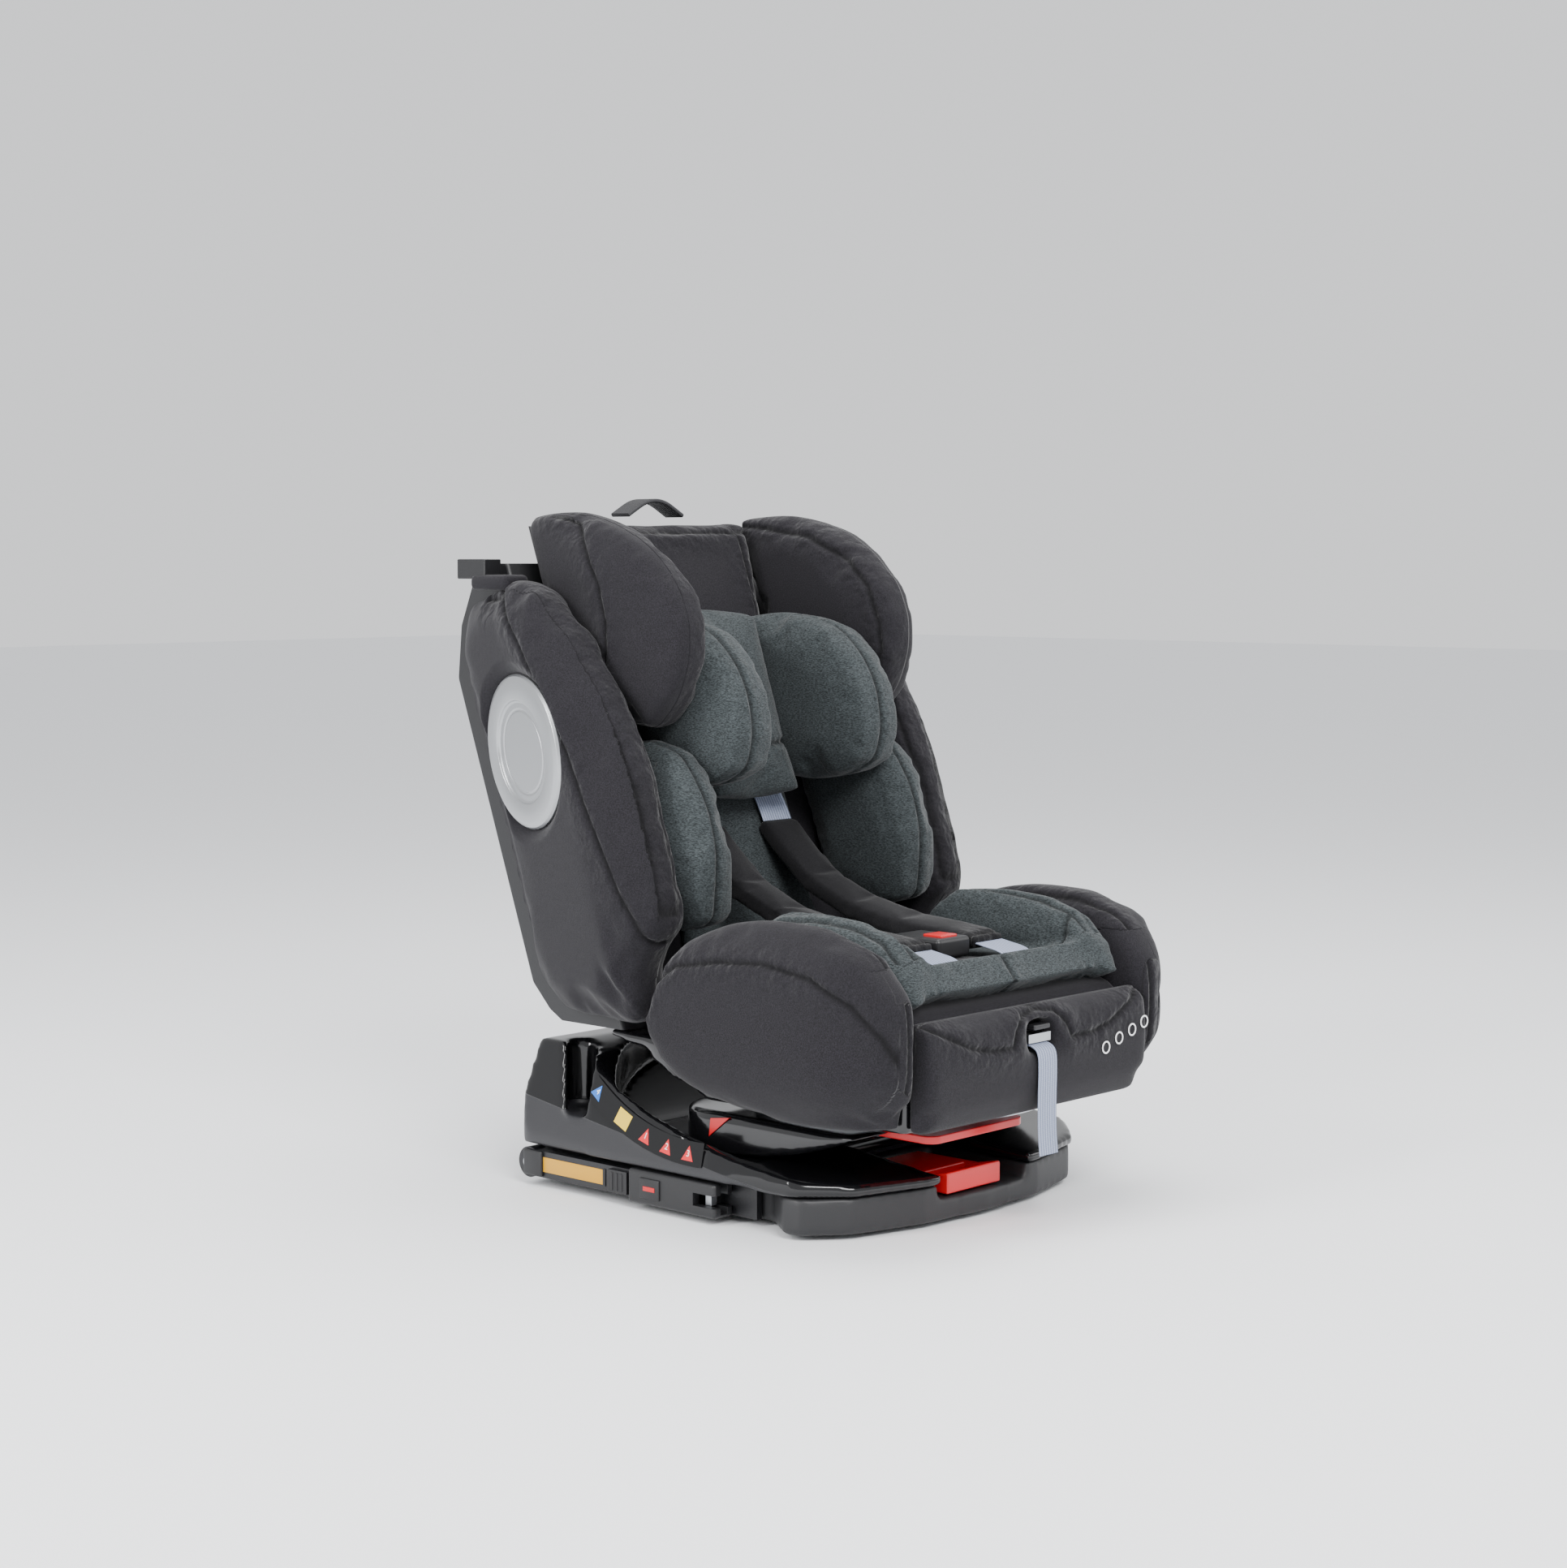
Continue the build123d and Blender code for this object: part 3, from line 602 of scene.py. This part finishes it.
for side, sign in (("left", -1), ("right", 1)):
    shape = bmesh.new()
    rim = [shape.verts.new((r * MM, 0, h * MM)) for r, h in disc_outline]
    edges = [shape.edges.new(pair) for pair in zip(rim, rim[1:])]
    bmesh.ops.spin(shape, geom=rim + edges, cent=(0, 0, 0), axis=(0, 0, 1), angle=math.tau, steps=128,
                   use_merge=True)
    bmesh.ops.remove_doubles(shape, verts=shape.verts, dist=0.00001)
    turn = disc_normal.to_track_quat("Z", "Y").to_matrix().to_4x4()
    bmesh.ops.transform(shape, matrix=Matrix.Translation(disc_spot) @ turn, verts=shape.verts)
    if sign < 0:
        bmesh.ops.scale(shape, vec=(-1, 1, 1), verts=shape.verts)
    bmesh.ops.recalc_face_normals(shape, faces=shape.faces)
    for edge in shape.edges:
        edge.smooth = edge.calc_face_angle(0) < math.radians(30)
    for face in shape.faces:
        face.smooth = True
    mesh = bpy.data.meshes.new(f"disc_{side}")
    shape.to_mesh(mesh)
    shape.free()
    disc = bpy.data.objects.new(f"disc_{side}", mesh)
    scene.collection.objects.link(disc)
    rounding = disc.modifiers.new("edge_radius", "BEVEL")
    rounding.width = 0.5 * MM
    rounding.segments = 2
    rounding.limit_method = "ANGLE"
    rounding.angle_limit = math.radians(20)
    rounding.harden_normals = True
    mesh.materials.append(silver)
    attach(disc, "seat")
    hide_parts(f"side_disc_{side}")

# Harness webbing: blue-grey ribbed polyester, 38 mm wide for the shoulders and 25 mm for the adjuster tail;
# the headrest's pull loop is black webbing folded double.


def ribbed(name, colour, light):
    """Webbing with lengthwise ribs; u is across and v along, in metres."""
    material, shader = blank(name, 0.75)
    place = add_node(material, "ShaderNodeUVMap")
    axes = add_node(material, "ShaderNodeSeparateXYZ", None, Vector=place.outputs["UV"])
    across = add_node(material, "ShaderNodeMath", {"operation": "MULTIPLY"}, i0=axes.outputs["X"])
    across.inputs[1].default_value = math.tau / 0.0032
    rib = add_node(material, "ShaderNodeMath", {"operation": "SINE"}, i0=across.outputs[0])
    along = add_node(material, "ShaderNodeMath", {"operation": "MULTIPLY"}, i0=axes.outputs["Y"])
    along.inputs[1].default_value = math.tau / 0.0012
    pick = add_node(material, "ShaderNodeMath", {"operation": "SINE"}, i0=along.outputs[0])
    woven = add_node(material, "ShaderNodeMath", {"operation": "MULTIPLY_ADD"}, i0=pick.outputs[0],
                     i2=rib.outputs[0])
    woven.inputs[1].default_value = 0.35
    ramp = add_node(material, "ShaderNodeMapRange", None, Value=woven.outputs[0])
    ramp.inputs["From Min"].default_value = -1.3
    ramp.inputs["From Max"].default_value = 1.3
    shade = add_node(material, "ShaderNodeMix", {"data_type": "RGBA"}, i0=ramp.outputs[0])
    shade.inputs[6].default_value = hexed(colour)
    shade.inputs[7].default_value = hexed(light)
    bump = add_node(material, "ShaderNodeBump", {"Strength": 0.7, "Distance": 0.0004},
                    Height=woven.outputs[0])
    material.node_tree.links.new(shade.outputs[2], shader.inputs["Base Color"])
    material.node_tree.links.new(bump.outputs["Normal"], shader.inputs["Normal"])
    return material


webbing = ribbed("ribbed_webbing_blue_grey", "#6b748c", "#a0a8be")
dark_webbing = ribbed("ribbed_webbing_black", "#111113", "#2a2a2d")


def strap(name, path, across, width, thick, material, body, node, rounding=3):
    """Flat webbing along a path in millimetres, its width laid along the given direction."""
    points = [Vector(p) for p in path]
    for _ in range(rounding):
        finer = [points[0]]
        for a, b in zip(points, points[1:]):
            finer += [a.lerp(b, 0.25), a.lerp(b, 0.75)]
        points = finer + [points[-1]]
    side = Vector(across).normalized()
    shape = bmesh.new()
    uv = shape.loops.layers.uv.new("UVMap")
    rows, run = [], 0.0
    section = [(-0.5, -0.2), (-0.47, -0.5), (-0.25, -0.5), (0, -0.5), (0.25, -0.5), (0.47, -0.5), (0.5, -0.2),
               (0.5, 0.2), (0.47, 0.5), (0.25, 0.5), (0, 0.5), (-0.25, 0.5), (-0.47, 0.5), (-0.5, 0.2)]
    for i, point in enumerate(points):
        ahead = points[min(i + 1, len(points) - 1)] - points[max(i - 1, 0)]
        up = ahead.normalized().cross(side).normalized()
        if i:
            run += (point - points[i - 1]).length
        ring = [shape.verts.new((point + side * u * width + up * v * thick) * MM) for u, v in section]
        rows.append((ring, run))
    count = len(section)
    for (a, low), (b, high) in zip(rows, rows[1:]):
        for k in range(count):
            j = (k + 1) % count
            face = shape.faces.new((a[k], a[j], b[j], b[k]))
            face.smooth = True
            values = ((section[k][0], low), (section[j][0], low),
                      (section[j][0], high), (section[k][0], high))
            for loop, (u, v) in zip(face.loops, values):
                loop[uv].uv = (u * width * MM, v * MM)
    shape.faces.new(rows[0][0])
    shape.faces.new(list(reversed(rows[-1][0])))
    bmesh.ops.recalc_face_normals(shape, faces=shape.faces)
    mesh = bpy.data.meshes.new(name)
    shape.to_mesh(mesh)
    shape.free()
    piece = bpy.data.objects.new(name, mesh)
    scene.collection.objects.link(piece)
    mesh.materials.append(material)
    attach(piece, body)
    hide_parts(node)
    return piece, run * MM


for side, sign in (("left", -1), ("right", 1)):
    x = 49 * sign
    upper, upper_length = strap(f"shoulder_strap_{side}",
                                [(x, 131, 372), (x, 122, 350), (x, 112, 334), (x, 106, 322)],
                                (1, 0, 0), 38, 1.8, webbing, "seat", f"harness_strap_{side}")
    lower, lower_length = strap(f"lap_strap_{side}",
                                [(x, -140, 232), (x, -158, 229), (x, -176, 226), (x, -182, 221),
                                 (x, -177, 216.5), (x, -166, 214.5), (x * 0.85, -130, 215),
                                 (x * 0.7, -80, 216)],
                                (1, 0, 0), 38, 1.8, webbing, "seat", f"harness_strap_{side}")

tail, tail_length = strap("adjuster_tail", [(0, -228, 157), (0, -243, 157), (0, -251, 152), (0, -252, 138),
                                            (-1, -252, 110), (-2, -253, 84), (-2, -255, 64)],
                          (1, 0, 0), 25, 1.8, webbing, "seat", "adjuster_strap")

loop, loop_length = strap("headrest_loop", [(-36, 228, 607), (-27, 228, 612), (-14, 228, 619),
                                            (0, 228, 621.5), (14, 228, 619), (27, 228, 612), (36, 228, 607)],
                          (0, 1, 0), 24, 3.6, dark_webbing, "pull_loop", "pull_loop")

# Recline scale: a glossy black strip let into each side of the housing, printed with blue, yellow and
# red marks and plain digits. The marks lie on the strip's own curve, which is tighter than the arc
# on which the cradle rocks, and the first three are spaced for the cradle's travel.
scale_film, film_shader = blank("printed_label_black", 0.1, "#08080a")
place = add_node(scale_film, "ShaderNodeTexCoord")
film = add_node(scale_film, "ShaderNodeTexNoise", {"Scale": 30, "Detail": 1}, Vector=place.outputs["Object"])
film_wave = add_node(scale_film, "ShaderNodeBump", {"Strength": 0.04, "Distance": 0.002},
                     Height=film.outputs["Fac"])
scale_film.node_tree.links.new(film_wave.outputs["Normal"], film_shader.inputs["Normal"])
nodes["recline_scale"].data.materials.clear()
nodes["recline_scale"].data.materials.append(scale_film)


def ink(name, colour):
    """Printed ink with a faint screen pattern."""
    material, shader = blank(name, 0.3, colour)
    place = add_node(material, "ShaderNodeTexCoord")
    dots = add_node(material, "ShaderNodeTexNoise", {"Scale": 2500, "Detail": 0},
                    Vector=place.outputs["Object"])
    bump = add_node(material, "ShaderNodeBump", {"Strength": 0.05, "Distance": 0.0001},
                    Height=dots.outputs["Fac"])
    material.node_tree.links.new(bump.outputs["Normal"], shader.inputs["Normal"])
    return material


inks = {"red": ink("printed_ink_red", "#d3262b"), "blue": ink("printed_ink_blue", "#2f6fc4"),
        "yellow": ink("printed_ink_yellow", "#e6c33c"), "white": ink("printed_ink_white", "#f0f0f0")}


scale_slope = math.radians(14.3)
scale_foot = (183.7, 60)
scale_thickness = 2


def scale_matrix(sign, y, z, lift, turn):
    """Places a flat mark on the sloping scale, its x along the travel and its y up the slope."""
    slope = scale_slope
    out = Vector((sign * math.cos(slope), 0, math.sin(slope)))
    up = Vector((-sign * math.sin(slope), 0, math.cos(slope)))
    right = up.cross(out)
    x = scale_foot[0] + scale_thickness / math.cos(slope) - (z - scale_foot[1]) * math.tan(slope)
    basis = Matrix((right, up, out)).transposed().to_4x4()
    spot = Vector((sign * x, y, z)) * MM + out * lift * MM
    return Matrix.Translation(spot) @ basis @ Matrix.Rotation(math.radians(turn) * sign, 4, "Z")


def mark(name, points, sign, y, z, lift, turn, material):
    """Thin printed mark with the given outline in millimetres."""
    shape = bmesh.new()
    face = shape.faces.new([shape.verts.new((px * MM, py * MM, 0)) for px, py in points])
    raised = bmesh.ops.extrude_face_region(shape, geom=[face])
    tops = [g for g in raised["geom"] if isinstance(g, bmesh.types.BMVert)]
    bmesh.ops.translate(shape, vec=(0, 0, 0.12 * MM), verts=tops)
    bmesh.ops.transform(shape, matrix=scale_matrix(sign, y, z, lift, turn), verts=shape.verts)
    bmesh.ops.recalc_face_normals(shape, faces=shape.faces)
    mesh = bpy.data.meshes.new(name)
    shape.to_mesh(mesh)
    shape.free()
    piece = bpy.data.objects.new(name, mesh)
    scene.collection.objects.link(piece)
    mesh.materials.append(material)
    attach(piece, "base")


def digit(name, text, size, sign, y, z, lift, turn, material):
    """Plain numeral printed on a mark."""
    letters = bpy.data.curves.new(name, "FONT")
    letters.body = text
    letters.size = size * MM
    letters.align_x = "CENTER"
    letters.align_y = "CENTER"
    letters.extrude = 0.06 * MM
    holder = bpy.data.objects.new(name, letters)
    scene.collection.objects.link(holder)
    graph = bpy.context.evaluated_depsgraph_get()
    mesh = bpy.data.meshes.new_from_object(holder.evaluated_get(graph))
    bpy.data.objects.remove(holder)
    mesh.transform(scale_matrix(sign, y, z, lift, turn))
    mesh.materials.clear()
    mesh.materials.append(material)
    piece = bpy.data.objects.new(name, mesh)
    scene.collection.objects.link(piece)
    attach(piece, "base")


triangle = [(-7, -6), (7, -6), (0, 7)]
plate = [(-9, -7.5), (9, -7.5), (9, 7.5), (-9, 7.5)]
arc_y, arc_z, arc_radius = -14, 294, 236.5
mark_lift = 0.05
digit_lift = 0.24
for side, sign in (("left", -1), ("right", 1)):
    spots = [("4", 32.5, "blue"), ("plate", 22.5, "yellow"), ("1", 14.6, "red"), ("2", 7.9, "red"),
             ("3", 1.4, "red")]
    for text, angle, hue in spots:
        y = arc_y + arc_radius * math.sin(math.radians(angle))
        z = arc_z - arc_radius * math.cos(math.radians(angle))
        if text == "plate":
            mark(f"scale_plate_{side}", plate, sign, y, z, mark_lift, angle, inks[hue])
            continue
        mark(f"scale_mark_{text}_{side}", triangle, sign, y, z, mark_lift, angle, inks[hue])
        digit(f"scale_digit_{text}_{side}", text, 8, sign, y, z, digit_lift, angle, inks["white"])

# Belt guides: a black moulded nylon hook at the top of each bolster, held by a folded tab of the
# cover's jersey.
for side, sign in (("left", -1), ("right", 1)):
    moulded(f"guide_{side}", f"belt_guide_{side}", "seat", nylon, 1.2)
    low, high = sorted((sign * 170, sign * 199))
    block(f"guide_tab_{side}", (low, high), (206, 256), (538, 552), 5, jersey, "seat")

# Printed marks: four plain white rings on the front of the cover, drawn as a thin ridge of ink that
# stands just proud of the cloth.
for index, (x, z) in enumerate([(84, 144), (103, 150), (122, 155), (140, 160)]):
    shape = bmesh.new()
    rim = [shape.verts.new(((5.0 + r * 0.8) * MM, 0, h * MM))
           for r, h in ((-0.8, 0), (-0.8, 0.4), (0.8, 0.4), (0.8, 0))]
    edges = [shape.edges.new(pair) for pair in zip(rim, rim[1:] + rim[:1])]
    bmesh.ops.spin(shape, geom=rim + edges, cent=(0, 0, 0), axis=(0, 0, 1), angle=math.tau, steps=32,
                   use_merge=True)
    bmesh.ops.transform(shape, matrix=Matrix.Translation(Vector((x, -250.6, z)) * MM)
                        @ Matrix.Rotation(math.radians(90), 4, "X"), verts=shape.verts)
    bmesh.ops.recalc_face_normals(shape, faces=shape.faces)
    mesh = bpy.data.meshes.new(f"cover_ring_{index}")
    shape.to_mesh(mesh)
    shape.free()
    ring = bpy.data.objects.new(f"cover_ring_{index}", mesh)
    scene.collection.objects.link(ring)
    mesh.materials.append(inks["white"])
    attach(ring, "seat")

# Solids that still have no material, most of them replaced above, take the black nylon.
for node in nodes.values():
    if not node.data.materials:
        node.data.materials.append(nylon)
